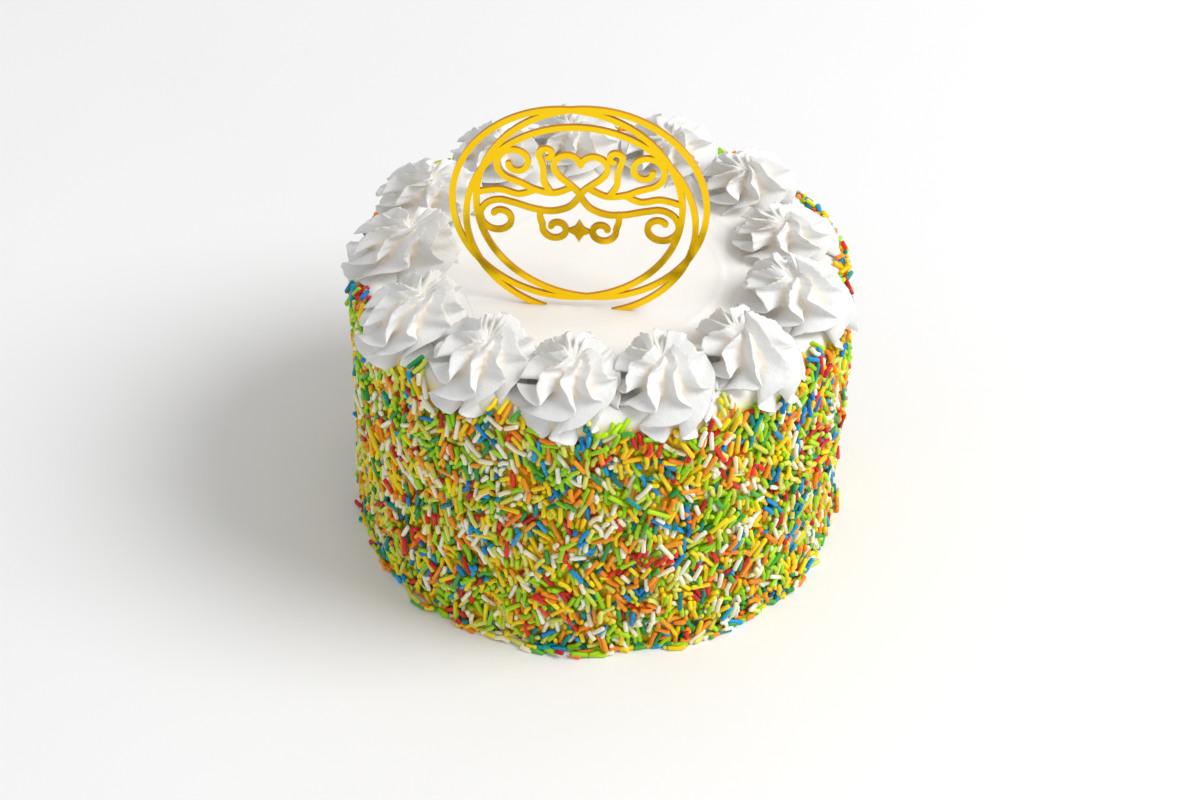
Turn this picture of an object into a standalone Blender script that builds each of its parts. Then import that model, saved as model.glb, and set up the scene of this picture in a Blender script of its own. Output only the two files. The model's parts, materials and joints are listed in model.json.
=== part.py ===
"""A round birthday cake: white icing, a side covered with sugar strands, a ring of piped rosettes and a gold hoop topper.

Metres, +Z up. The origin is the middle of the cake's flat underside, and the topper faces -Y.
"""

import math
import random

import bmesh
import bpy
from mathutils import Matrix, Vector

MM = 0.001
GAP = 0.35 * MM

# Iced cake
CAKE_RADIUS = 84.8 * MM
CAKE_HEIGHT = 103.0 * MM
RIM_ROUND = 7.0 * MM
FOOT_ROUND = 1.5 * MM
CAKE_STEPS = 64
RIM_STEPS = 4
AXIS_MERGE = 0.01 * MM

# Sugar strands pressed into the side
STRAND_WIDTH = 1.7 * MM
STRAND_LENGTHS = (5.2 * MM, 7.4 * MM)
STRAND_COUNT = 200
STRAND_SIDES = 5
STRAND_TOP = 92.5 * MM
STRAND_FOOT = 1.0 * MM
STRAND_STANDS_OUT = 0.45 * MM
STRAND_TILT = 24.0
# The share of its length by which a tilted strand's middle moves out.
TILT_RAISES = 0.3
STRAND_STRAY = 0.03
STRAND_SEED = 11
GOLDEN_ANGLE = math.pi * (3 - math.sqrt(5))

# Piped rosettes
ROSETTE_COUNT = 13
ROSETTE_RING = 69.0 * MM
ROSETTE_START = 18.0
# How far each rosette lies from its even place: round the ring in degrees, and outwards in millimetres.
ROSETTE_STRAY = (-1.5, -0.3, 1, 3, -1, 0.5, -1, 2.3, 1, -1.2, -3, -5, -4)
ROSETTE_OUT = (-4.0, -0.5, 0.0, 0.0, 0.5, 0.5, 0.5, 4.0, 0.5, -0.5, 0.0, 2.0, 0.5)
ROSETTE_SIZE = (0.95, 1.0, 1.0, 1.0, 1.0, 1.0, 1.06, 1.04, 1.0, 1.0, 1.0, 1.02, 1.08)
# The rosettes press on their neighbours, so that they are longer outwards than along the rim.
OUTWARD_STRETCH = 1.14
ROSETTE_SEED = 101
RIDGES = 9
# One column for each height up the rosette, from the frill at its foot to its open crown.
LEVELS = (0.0, 0.10, 0.21, 0.30, 0.38, 0.52, 0.68, 0.84, 1.0)
CREST_RADIUS = (15.8, 17.2, 17.6, 17.1, 16.5, 14.8, 11.8, 8.4, 5.2)
VALLEY_RADIUS = (12.2, 12.0, 11.2, 10.2, 9.5, 7.8, 5.6, 3.6, 1.7)
LEVEL_HEIGHT = (-3.4, -1.6, 0.9, 3.0, 5.0, 8.0, 10.4, 11.9, 12.2)
CREST_LIFT = (-1.0, -0.8, -0.4, 0.1, 0.4, 0.8, 1.2, 1.7, 2.6)
# The folds sway to and fro by these degrees on the way up, the valleys less than the crests.
SWAY = (0, -12, -25, -8, 14, 1, -6, -3, 0)
VALLEY_SWAY = 0.4
TURN = (0, 3, 6, 9, 11, 16, 26, 39, 56)
CROWN_PIT = 8.8 * MM
SIZE_SPREAD = 0.04
REACH_SPREAD = 0.05
TIP_SPREAD = 0.35
CROWN_SHIFT = 1.0 * MM
PEAK_LEAN = 3.4 * MM
DRAPE_FROM = 76.0 * MM
DRAPE_OVER = 11.0 * MM
DRAPE = 0.03 / MM
SQUEEZE_FROM = 0.8

# Topper, cut from one thin sheet
HOOP_RADIUS = 37.9 * MM
HOOP_OFFSET = 4.6 * MM
HOOP_DIRECTIONS = (35, 155, 275)
HOOP_STEPS = 42
STROKE = 2.1 * MM
SHEET = 1.2 * MM
TOPPER_X = -6.4 * MM
TOPPER_Y = -24.7 * MM
TOPPER_Z = 143.0 * MM
HEART_MIDDLE = 15.6 * MM
HEART_SIZE = 8.8 * MM
HEART_STEPS = 20
STAR_MIDDLE = -8.0 * MM
STAR_RADIUS = 4.4 * MM
STAR_WAIST = 0.5
STEM_PARTS = 2
STAKE_WIDTH = 4.0 * MM
STAKE_LENGTH = 34.0 * MM
STAKE_POINT = 5.0 * MM

# Cream pushed up where the topper goes in
LIP_LENGTH = 15.0 * MM
LIP_WIDTH = 3.2 * MM
LIP_HEIGHT = 1.3 * MM
LIP_SEGMENTS = 14
LIP_RINGS = 6
# How far the slot runs on past the hoops' ends and above the lip.
SLOT_ROOM = 1.0 * MM


def clear_scene():
    for obj in list(bpy.data.objects):
        bpy.data.objects.remove(obj, do_unlink=True)


def material(name, colour, roughness, metallic=0.0):
    made = bpy.data.materials.new(name)
    made.use_nodes = True
    shader = made.node_tree.nodes["Principled BSDF"]
    shader.inputs["Base Color"].default_value = (*colour, 1.0)
    shader.inputs["Roughness"].default_value = roughness
    shader.inputs["Metallic"].default_value = metallic
    made.diffuse_color = (*colour, 1.0)
    return made


def collection(name):
    made = bpy.data.collections.new(name)
    bpy.context.scene.collection.children.link(made)
    return made


def add_object(name, mesh, group):
    obj = bpy.data.objects.new(name, mesh)
    group.objects.link(obj)
    return obj


def mesh_from(name, points, faces):
    mesh = bpy.data.meshes.new(name)
    mesh.from_pydata([tuple(point) for point in points], [], faces)
    mesh.validate()
    return mesh


def applied(obj):
    """The object's evaluated mesh becomes its own mesh, and its modifiers go."""
    bpy.context.view_layer.update()
    graph = bpy.context.evaluated_depsgraph_get()
    mesh = bpy.data.meshes.new_from_object(obj.evaluated_get(graph))
    obj.modifiers.clear()
    obj.data = mesh
    return obj


def remove_collection(group):
    for obj in list(group.objects):
        bpy.data.objects.remove(obj, do_unlink=True)
    bpy.data.collections.remove(group)


def union_with(obj, group, solver):
    """Joins every object of the collection to obj, then removes them."""
    joined = obj.modifiers.new("union", "BOOLEAN")
    joined.operation = "UNION"
    joined.operand_type = "COLLECTION"
    joined.collection = group
    joined.solver = solver
    applied(obj)
    remove_collection(group)


def subtract(obj, cutter):
    cut = obj.modifiers.new("cut", "BOOLEAN")
    cut.operation = "DIFFERENCE"
    cut.object = cutter
    cut.solver = "EXACT"
    applied(obj)


def islands(shape):
    """The bmesh's faces in groups that hang together."""
    left = set(shape.faces)
    found = []
    while left:
        group = {left.pop()}
        edge_of = list(group)
        while edge_of:
            face = edge_of.pop()
            for edge in face.edges:
                for other in edge.link_faces:
                    if other in left:
                        left.remove(other)
                        group.add(other)
                        edge_of.append(other)
        found.append(group)
    return found


def keep_main_body(obj):
    """Drops the loose scraps that a cut leaves."""
    shape = bmesh.new()
    shape.from_mesh(obj.data)
    groups = sorted(islands(shape), key=len)
    scraps = [face for group in groups[:-1] for face in group]
    bmesh.ops.delete(shape, geom=scraps, context="FACES")
    bmesh.ops.delete(shape, geom=[v for v in shape.verts if not v.link_faces], context="VERTS")
    shape.to_mesh(obj.data)
    shape.free()


def helper_look(obj):
    obj.hide_render = True
    obj.display_type = "WIRE"


# Iced core

def cake_profile(grow):
    """The core's outline from the middle of the top to the middle of the underside, grown outwards by grow."""
    radius = CAKE_RADIUS + grow
    top = CAKE_HEIGHT + grow
    rim = RIM_ROUND + grow
    foot = FOOT_ROUND
    points = [(0.0, top)]
    for step in range(RIM_STEPS + 1):
        angle = math.pi / 2 * (1 - step / RIM_STEPS)
        points.append((radius - rim + rim * math.cos(angle), top - rim + rim * math.sin(angle)))
    points.append((radius, foot - grow))
    points.append((radius - foot, -grow))
    points.append((0.0, -grow))
    return points


def turned(name, profile, group):
    """A closed solid of revolution about the Z axis."""
    points = [(x, 0.0, z) for x, z in profile]
    mesh = bpy.data.meshes.new(name)
    mesh.from_pydata(points, [(i, i + 1) for i in range(len(points) - 1)], [])
    obj = add_object(name, mesh, group)
    screw = obj.modifiers.new("turn", "SCREW")
    screw.steps = CAKE_STEPS
    screw.render_steps = CAKE_STEPS
    screw.use_merge_vertices = True
    screw.merge_threshold = AXIS_MERGE
    return applied(obj)


def strand_mesh():
    """A sugar strand of length 1 along Z."""
    shape = bmesh.new()
    bmesh.ops.create_cone(
        shape, cap_ends=True, segments=STRAND_SIDES,
        radius1=STRAND_WIDTH / 2, radius2=STRAND_WIDTH / 2, depth=1.0)
    mesh = bpy.data.meshes.new("strand")
    shape.to_mesh(mesh)
    shape.free()
    return mesh


def add_strands(group, draw):
    """Strands evenly spread over the side, at any turn and slightly raised at one end."""
    mesh = strand_mesh()
    for index in range(STRAND_COUNT):
        length = draw.uniform(*STRAND_LENGTHS)
        turn = draw.uniform(0, math.pi)
        tilt = math.radians(draw.uniform(-STRAND_TILT, STRAND_TILT))
        around = index * GOLDEN_ANGLE + draw.uniform(-STRAND_STRAY, STRAND_STRAY)
        half_height = abs(math.cos(turn)) * length / 2 + STRAND_WIDTH / 2
        lowest = STRAND_FOOT + half_height
        highest = STRAND_TOP - half_height
        height = lowest + (highest - lowest) * (index + 0.5) / STRAND_COUNT
        out = CAKE_RADIUS + STRAND_STANDS_OUT + abs(math.sin(tilt)) * length * TILT_RAISES
        strand = add_object(f"strand_{index:03d}", mesh, group)
        strand.matrix_world = (
            Matrix.Rotation(around, 4, "Z")
            @ Matrix.Translation((out, 0, height))
            @ Matrix.Rotation(turn, 4, "X")
            @ Matrix.Rotation(tilt, 4, "Y")
            @ Matrix.Diagonal((1, 1, length, 1)))


def add_lip(group):
    """A low ridge of cream along the topper's foot."""
    shape = bmesh.new()
    bmesh.ops.create_uvsphere(shape, u_segments=LIP_SEGMENTS, v_segments=LIP_RINGS, radius=1.0)
    bmesh.ops.scale(shape, vec=(LIP_LENGTH, LIP_WIDTH, LIP_HEIGHT), verts=shape.verts)
    mesh = bpy.data.meshes.new("lip")
    shape.to_mesh(mesh)
    shape.free()
    lip = add_object("lip", mesh, group)
    lip.location = (TOPPER_X, TOPPER_Y, CAKE_HEIGHT)


def add_box(name, low, high, group):
    shape = bmesh.new()
    bmesh.ops.create_cube(shape, size=1.0)
    low = Vector(low)
    high = Vector(high)
    bmesh.ops.scale(shape, vec=high - low, verts=shape.verts)
    bmesh.ops.translate(shape, vec=(high + low) / 2, verts=shape.verts)
    mesh = bpy.data.meshes.new(name)
    shape.to_mesh(mesh)
    shape.free()
    return add_object(name, mesh, group)


def cut_slot(cake, cutters):
    """Room in the icing for the lowest part of the hoops and for the stake."""
    half_sheet = SHEET / 2 + GAP
    hoop_foot = TOPPER_Z - HOOP_OFFSET - HOOP_RADIUS - STROKE / 2
    sunk = CAKE_HEIGHT + LIP_HEIGHT - hoop_foot
    half_chord = math.sqrt(2 * (HOOP_RADIUS + STROKE) * sunk) + SLOT_ROOM
    above = CAKE_HEIGHT + LIP_HEIGHT + SLOT_ROOM
    hoop_slot = add_box(
        "hoop_slot",
        (TOPPER_X - half_chord, TOPPER_Y - half_sheet, hoop_foot - GAP),
        (TOPPER_X + half_chord, TOPPER_Y + half_sheet, above), cutters)
    half_stake = STAKE_WIDTH / 2 + GAP
    stake_slot = add_box(
        "stake_slot",
        (TOPPER_X - half_stake, TOPPER_Y - half_sheet, hoop_foot - STAKE_LENGTH - GAP),
        (TOPPER_X + half_stake, TOPPER_Y + half_sheet, above), cutters)
    for cutter in (hoop_slot, stake_slot):
        helper_look(cutter)
        subtract(cake, cutter)


def make_cake(group, cutters, look):
    cake = turned("cake", cake_profile(0.0), group)
    toppings = collection("toppings")
    add_strands(toppings, random.Random(STRAND_SEED))
    add_lip(toppings)
    union_with(cake, toppings, "MANIFOLD")
    cut_slot(cake, cutters)
    keep_main_body(cake)
    cake.data.materials.clear()
    cake.data.materials.append(look)
    return cake


# Piped rosettes

def rosette_angles():
    spacing = 360.0 / ROSETTE_COUNT
    return [math.radians(ROSETTE_START + i * spacing + ROSETTE_STRAY[i]) for i in range(ROSETTE_COUNT)]


def swirl_points(draw, bulk):
    """Points of one rosette about its own axis: a ring for each level, crest and valley in turn."""
    size = bulk * (1 + draw.uniform(-SIZE_SPREAD, SIZE_SPREAD))
    tallness = bulk * (1 + draw.uniform(-SIZE_SPREAD, SIZE_SPREAD))
    first = draw.uniform(0, 2 * math.pi)
    lean_to = draw.uniform(0, 2 * math.pi)
    reach = [1 + draw.uniform(-REACH_SPREAD, REACH_SPREAD) for _ in range(RIDGES)]
    tips = [1 + draw.uniform(-TIP_SPREAD, TIP_SPREAD) for _ in range(RIDGES)]
    points = []
    for level, part in enumerate(LEVELS):
        for step in range(2 * RIDGES):
            ridge = step // 2
            is_crest = step % 2 == 0
            radius = VALLEY_RADIUS[level]
            height = LEVEL_HEIGHT[level]
            sway = SWAY[level] * VALLEY_SWAY
            if is_crest:
                radius = CREST_RADIUS[level] * reach[ridge]
                height += CREST_LIFT[level] * tips[ridge]
                sway = SWAY[level]
            angle = first + step * math.pi / RIDGES + math.radians(TURN[level] + sway)
            lean = CROWN_SHIFT * part * part
            points.append((
                radius * MM * size * math.cos(angle) + lean * math.cos(lean_to),
                radius * MM * size * math.sin(angle) + lean * math.sin(lean_to),
                height * MM * tallness))
    return points


def squeezed(share):
    """A share of the room towards the neighbour, held softly under 1."""
    over = (abs(share) - SQUEEZE_FROM) / (1 - SQUEEZE_FROM)
    if over <= 0:
        return share
    return math.copysign(SQUEEZE_FROM + (1 - SQUEEZE_FROM) * math.tanh(over), share)


def settled(point, ring, middle, before, after):
    """Sets a rosette's point on the cake: leaning inwards, kept off its neighbours and draped over the rim."""
    top = LEVEL_HEIGHT[-1] * MM
    rise = max(0.0, point[2]) / top
    x = ring + point[0] * OUTWARD_STRETCH - PEAK_LEAN * rise * rise
    radius = math.hypot(x, point[1])
    turn = math.atan2(point[1], x)
    room = (after if turn > 0 else before) - GAP / radius
    turn = room * squeezed(turn / room)
    fall = DRAPE * min(max(0.0, radius - DRAPE_FROM), DRAPE_OVER) ** 2
    return (
        radius * math.cos(middle + turn),
        radius * math.sin(middle + turn),
        CAKE_HEIGHT + point[2] - fall)


def loft_faces(rings, around, bottom, top):
    """Quads between rings of points, and fans from the two middle points."""
    faces = []
    for ring in range(rings - 1):
        for i in range(around):
            j = (i + 1) % around
            faces.append((ring * around + i, ring * around + j, (ring + 1) * around + j, (ring + 1) * around + i))
    last = (rings - 1) * around
    for i in range(around):
        j = (i + 1) % around
        faces.append((j, i, bottom))
        faces.append((last + i, last + j, top))
    return faces


def make_rosettes(group, cutters, look):
    grown = turned("grown_core", cake_profile(GAP), cutters)
    helper_look(grown)
    angles = rosette_angles()
    for index, middle in enumerate(angles):
        draw = random.Random(ROSETTE_SEED + index)
        ring = ROSETTE_RING + ROSETTE_OUT[index] * MM
        after = ((angles[(index + 1) % ROSETTE_COUNT] - middle) % (2 * math.pi)) / 2
        before = ((middle - angles[index - 1]) % (2 * math.pi)) / 2
        local = swirl_points(draw, ROSETTE_SIZE[index])
        count = len(local)
        local.append((0.0, 0.0, LEVEL_HEIGHT[0] * MM))
        local.append((0.0, 0.0, CROWN_PIT))
        points = [settled(point, ring, middle, before, after) for point in local]
        faces = loft_faces(len(LEVELS), 2 * RIDGES, count, count + 1)
        name = f"rosette_{index + 1:02d}"
        rosette = add_object(name, mesh_from(name, points, faces), group)
        subtract(rosette, grown)
        keep_main_body(rosette)
        rosette.data.materials.clear()
        rosette.data.materials.append(look)


# Topper

def as_sheet(obj):
    """Gives a flat outline the thickness of the sheet."""
    sheet = obj.modifiers.new("sheet", "SOLIDIFY")
    sheet.thickness = SHEET
    sheet.offset = 0.0
    return applied(obj)


def ribbon(name, line, closed, group):
    """A flat stroke of the sheet along a line of (x, z) points, with round ends where the line is open."""
    line = [Vector(point) for point in line]
    count = len(line)
    half = STROKE / 2
    left = []
    right = []
    for i, point in enumerate(line):
        before = line[i - 1] if closed or i > 0 else line[0]
        after = line[(i + 1) % count] if closed or i < count - 1 else line[-1]
        along = (after - before).normalized()
        across = Vector((-along.y, along.x)) * half
        left.append(point + across)
        right.append(point - across)
    shape = bmesh.new()

    def vertex(point):
        return shape.verts.new((point.x, 0.0, point.y))

    left_row = [vertex(point) for point in left]
    right_row = [vertex(point) for point in right]
    for i in range(count if closed else count - 1):
        j = (i + 1) % count
        shape.faces.new((right_row[i], right_row[j], left_row[j], left_row[i]))
    if not closed:
        for end, inner, rows in ((line[0], line[1], (left_row[0], right_row[0])),
                                 (line[-1], line[-2], (right_row[-1], left_row[-1]))):
            tip = vertex(end + (end - inner).normalized() * half)
            shape.faces.new((rows[0], tip, rows[1]))
    bmesh.ops.recalc_face_normals(shape, faces=shape.faces)
    mesh = bpy.data.meshes.new(name)
    shape.to_mesh(mesh)
    shape.free()
    return as_sheet(add_object(name, mesh, group))


def circle_line(middle, radius, steps):
    turns = [2 * math.pi * i / steps for i in range(steps)]
    return [(middle[0] + radius * math.cos(t), middle[1] + radius * math.sin(t)) for t in turns]


def spiral_line(middle, outer, inner, start, sweep, steps):
    """Points of a spiral that winds inwards from angle start through sweep degrees."""
    points = []
    for step in range(steps + 1):
        part = step / steps
        radius = outer + (inner - outer) * part
        angle = math.radians(start + sweep * part)
        points.append((middle[0] + radius * math.cos(angle), middle[1] + radius * math.sin(angle)))
    return points


def heart_line(steps):
    points = []
    for step in range(steps):
        t = 2 * math.pi * step / steps
        x = 16 * math.sin(t) ** 3
        z = 13 * math.cos(t) - 5 * math.cos(2 * t) - 2 * math.cos(3 * t) - math.cos(4 * t)
        points.append((HEART_SIZE * x / 16, HEART_MIDDLE + HEART_SIZE * z / 16))
    return points


def mirrored(line):
    return [(-x, z) for x, z in line]


def smooth_line(points, parts):
    """A smooth curve through the points, with each span cut in parts."""
    rows = [Vector(point) for point in points]
    line = []
    for i in range(len(rows) - 1):
        start = rows[i]
        end = rows[i + 1]
        before = rows[max(i - 1, 0)]
        after = rows[min(i + 2, len(rows) - 1)]
        for part in range(parts):
            t = part / parts
            line.append(0.5 * (2 * start + (end - before) * t
                               + (2 * before - 5 * start + 4 * end - after) * t ** 2
                               + (3 * start - before - 3 * end + after) * t ** 3))
    line.append(rows[-1])
    return [(point.x, point.y) for point in line]


def scroll_lines():
    """The scrolls on the right of the heart: most are a curved stem that runs into a spiral."""
    stems = (
        ((3.0, 9.3), (8.5, 6.8), (14.5, 7.6), (19.3, 9.9)),
        ((0.0, 6.2), (3.4, 1.6), (9.0, -0.6), (15.0, -0.2), (20.5, 1.4)),
        ((12.9, -0.4), (13.0, -3.4)),
        ((9.6, 7.0), (11.9, 11.2), (12.1, 16.0)),
        ((14.5, 7.7), (20.0, 5.4), (26.5, 6.8), (33.6, 5.2)))
    spirals = (
        spiral_line((21.3, 17.9), 6.8, 2.3, -75, 420, 12),
        spiral_line((26.6, -4.6), 7.3, 2.4, 100, -415, 12),
        spiral_line((7.6, -7.6), 4.7, 1.9, 14, -350, 9),
        spiral_line((11.2, 22.0), 2.6, 1.5, -40, 290, 7),
        [])
    lines = []
    for stem, spiral in zip(stems, spirals):
        curve = smooth_line(list(stem) + spiral[:1], STEM_PARTS)
        lines.append([(x * MM, z * MM) for x, z in curve + spiral[1:]])
    return lines


def star_outline():
    """A four-pointed star between the small scrolls."""
    points = []
    for step in range(8):
        reach = STAR_RADIUS if step % 2 == 0 else STAR_RADIUS * STAR_WAIST
        angle = math.pi / 4 * step
        points.append((reach * math.cos(angle), STAR_MIDDLE + reach * math.sin(angle)))
    return points


def cut_shape(name, outline, group):
    """A flat piece of the sheet with this outline of (x, z) points."""
    shape = bmesh.new()
    shape.faces.new([shape.verts.new((x, 0.0, z)) for x, z in outline])
    mesh = bpy.data.meshes.new(name)
    shape.to_mesh(mesh)
    shape.free()
    return as_sheet(add_object(name, mesh, group))


def add_stake(group):
    """The pointed stake that holds the topper, hidden in the cake."""
    top = -HOOP_OFFSET - HOOP_RADIUS
    foot = top - STROKE / 2 - STAKE_LENGTH
    half = STAKE_WIDTH / 2
    outline = ((-half, top), (-half, foot + STAKE_POINT), (0.0, foot), (half, foot + STAKE_POINT), (half, top))
    cut_shape("stake", outline, group)


def make_topper(group, look):
    strokes = collection("strokes")
    middles = []
    for direction in HOOP_DIRECTIONS:
        angle = math.radians(direction)
        middles.append((HOOP_OFFSET * math.cos(angle), HOOP_OFFSET * math.sin(angle)))
    topper = ribbon("topper", circle_line(middles[0], HOOP_RADIUS, HOOP_STEPS), True, group)
    for index, middle in enumerate(middles[1:]):
        ribbon(f"hoop_{index}", circle_line(middle, HOOP_RADIUS, HOOP_STEPS), True, strokes)
    ribbon("heart", heart_line(HEART_STEPS), True, strokes)
    for index, line in enumerate(scroll_lines()):
        ribbon(f"scroll_right_{index}", line, False, strokes)
        ribbon(f"scroll_left_{index}", mirrored(line), False, strokes)
    cut_shape("star", star_outline(), strokes)
    add_stake(strokes)
    union_with(topper, strokes, "EXACT")
    topper.location = (TOPPER_X, TOPPER_Y, TOPPER_Z)
    topper.data.materials.clear()
    topper.data.materials.append(look)
    return topper


def main():
    clear_scene()
    cake_parts = collection("birthday_cake")
    cutters = collection("cutters")
    icing = material("icing", (0.93, 0.90, 0.84), 0.55)
    cream = material("piped_cream", (0.95, 0.94, 0.92), 0.5)
    gold = material("gold_sheet", (0.95, 0.62, 0.02), 0.25)
    make_cake(cake_parts, cutters, icing)
    make_rosettes(cake_parts, cutters, cream)
    make_topper(cake_parts, gold)


main()
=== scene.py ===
"""The looks of the birthday cake: its icing, sugar strands, piped rosettes and gold-coloured topper."""

import json
import math
import random

import bmesh
import bpy
import numpy as np
from mathutils import Matrix, Vector

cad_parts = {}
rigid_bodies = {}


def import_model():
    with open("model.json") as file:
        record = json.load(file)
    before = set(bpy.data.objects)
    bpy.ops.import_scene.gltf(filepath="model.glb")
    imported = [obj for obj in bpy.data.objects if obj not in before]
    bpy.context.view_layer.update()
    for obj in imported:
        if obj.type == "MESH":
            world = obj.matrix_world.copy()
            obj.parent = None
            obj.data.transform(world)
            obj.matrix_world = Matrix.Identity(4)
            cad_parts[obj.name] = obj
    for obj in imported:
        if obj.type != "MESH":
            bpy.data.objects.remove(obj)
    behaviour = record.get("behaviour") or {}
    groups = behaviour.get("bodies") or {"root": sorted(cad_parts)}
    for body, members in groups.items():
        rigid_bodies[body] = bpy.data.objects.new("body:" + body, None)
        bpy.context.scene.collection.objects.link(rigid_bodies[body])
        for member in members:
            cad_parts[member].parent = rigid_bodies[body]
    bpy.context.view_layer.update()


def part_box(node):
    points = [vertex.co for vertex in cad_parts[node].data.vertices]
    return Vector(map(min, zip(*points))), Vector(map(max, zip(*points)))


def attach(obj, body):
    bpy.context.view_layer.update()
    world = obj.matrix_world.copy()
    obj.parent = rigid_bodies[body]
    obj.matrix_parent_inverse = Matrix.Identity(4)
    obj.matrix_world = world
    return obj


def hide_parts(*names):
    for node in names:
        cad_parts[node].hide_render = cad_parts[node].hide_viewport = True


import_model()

MM = 0.001

# The part's own sizes, as its solids have them
CAKE_HEIGHT = 103.0 * MM
RIM_ROUND = 7.0 * MM
STROKE = 2.1 * MM
SHEET = 1.2 * MM
TOPPER_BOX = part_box("topper")
TOPPER_X = -6.4 * MM
TOPPER_Y = (TOPPER_BOX[0].y + TOPPER_BOX[1].y) / 2
TOPPER_Z = 143.0 * MM

# Icing
ICING_RADIUS = 83.6 * MM
ICING_AROUND = 256
TOP_RINGS = 80
RIM_RINGS = 12
WALL_RINGS = 24
FOOT_ROUND = 2.0 * MM
# Innermost rings of the top and the underside, as shares of the radius
FIRST_RING = 0.01
UNDER_RING = 0.5
# Waves have a number, a longest and a shortest length.
TOP_SEED = 5
TOP_WAVES = (7, 70 * MM, 22 * MM)
TOP_UNEVENNESS = 0.16 * MM
WALL_SEED = 8
WALL_LUMPS = 1.2 * MM
BROAD_WAVES = (7, 40 * MM, 18 * MM)
BROAD_SHARE = 0.6
FINE_WAVES = (9, 16 * MM, 7 * MM)
FINE_SHARE = 0.5
# Arcs that the spatula left on the top: radius in mm, start and end in degrees, height in mm
SPATULA_MIDDLE = (3 * MM, -5 * MM)
SPATULA_ARCS = (
    (38, -75, 65, 0.30),
    (46, -60, 40, 0.22),
    (54, -110, -20, 0.20),
    (41, 95, 170, 0.18),
    (50, 20, 80, 0.20))
ARC_WIDENING = 0.03 * MM
ARC_WIDTH = 1.1 * MM
GROOVE_SHARE = 0.5
GROOVE_PLACE = 2.0 * MM
GROOVE_WIDTH = 1.6 * MM
# The lip of icing at the topper: height and width before the sheet and behind it
LIP_REACH = 11.5 * MM
LIP_GAP = 0.9 * MM
LIP_RAGGED = 0.45
LIP_RIPPLES = (1.5 * MM, 3.7 * MM)
LIP_BEFORE = (0.8 * MM, 1.1 * MM)
LIP_BEHIND = (0.4 * MM, 1.6 * MM)
# The dyes' stain: where it begins below the top, and its fade
STAIN_FROM = 2.0 * MM
STAIN_FADE = 5.0 * MM

# Sugar strands
STRAND_SEED = 21
STRAND_RADIUS = 0.86 * MM
STRAND_SIDES = 6
# Cells of the heap's height map, and the steps that footprints are rounded to
STRAND_CELL = 0.4 * MM
FOOTPRINT_TURN = math.pi / 24
FOOTPRINT_LENGTH = 0.5 * MM
PATCHINESS = 0.95
PATCH_WAVES = (7, 26 * MM, 11 * MM)
PATCH_SLANT = (0.6, 0.8)
STRAND_SUNK = 0.45 * MM
STRAND_HIGHEST = 3.2 * MM
STRAND_STEEPEST = 0.95
# An end rests above this share of the cells under it. The next two are shares of the strand's length.
STRAND_PRESS = 0.72
END_FROM = 0.1
BEARING_SPAN = 0.62
LEAST_SHOWING = 3
STRAND_TRIES = 9000
STRAND_TURNS = 2
STRAND_LOWEST = 0.6 * MM
STRAND_TOP = 102.5 * MM
STRAND_THIN_FROM = 98.0 * MM
STRAND_LENGTHS = (3.2, 4.6, 5.6, 6.2, 6.8, 7.6, 8.4, 10.0)
STRAND_LENGTH_SHARES = (0.08, 0.16, 0.20, 0.20, 0.16, 0.12, 0.06, 0.02)
LENGTH_RANGE = (0.9, 1.1)
# Strands for the gaps, which are found anew after every FILL_ROUND of them
STRAND_FILLS = 14000
FILL_ROUND = 250
FILL_TURNS = 7
FILL_LOWEST = 0.8 * MM
FILL_LENGTHS = (3.4, 7.0)
FILL_SHIFT = 1.0 * MM
FILL_THINNING = 0.7
# The common lie of near strands: waves round the cake, height of a radian of them and start
LIE_WAVES = ((3, 9 * MM, 0), (11, -6 * MM, 2))
LIE_DRIFT = 0.3
LIE_SPREAD = 0.55
FOOT_ROOM = 0.5 * MM
ABOVE_FLOOR = 0.05 * MM
BENT_SHARE = 0.3
BOW_RANGE = (0.15, 0.6)
# Strands along the foot, with ranges in mm
FOOT_STRANDS = 330
FOOT_STRAY = 0.4
FOOT_LENGTHS = (3.2, 7.0)
FOOT_TURN_SPREAD = 0.14
FOOT_SLOPE_SPREAD = 0.25
FOOT_OUT = (1.4, 3.4)
CLUMP_OUT = 3.6
CLUMP_UP = (0.4, 1.7)
FOOT_GAP = 0.1 * MM
# The strands' upper edge, under the rosettes' frills
SKIRT_BINS = 720
SKIRT_DEPTH = 3.5 * MM
SKIRT_OVERLAP = 0.6 * MM

# Piped rosettes
ROSETTE_COUNT = 13
ROSETTE_RING = 69.0 * MM
ROSETTE_START = 18.0
ROSETTE_STRAY = (-1.5, -0.3, 1, 3, -1, 0.5, -1, 2.3, 1, -1.2, -3, -5, -4)
ROSETTE_OUT = (-4.0, -0.5, 0.0, 0.0, 0.5, 0.5, 0.5, 4.0, 0.5, -0.5, 0.0, 2.0, 0.5)
ROSETTE_SIZE = (0.95, 1.0, 1.0, 1.0, 1.0, 1.0, 1.06, 1.04, 1.0, 1.0, 1.0, 1.02, 1.08)
# Rosettes press on their neighbours, and so are longer outwards than along the rim.
OUTWARD_STRETCH = 1.14
ROSETTE_PRESS = 1.6 * MM
SQUEEZE_FROM = 0.84
ROSETTE_SEED = 101
RIDGES = 9
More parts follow.
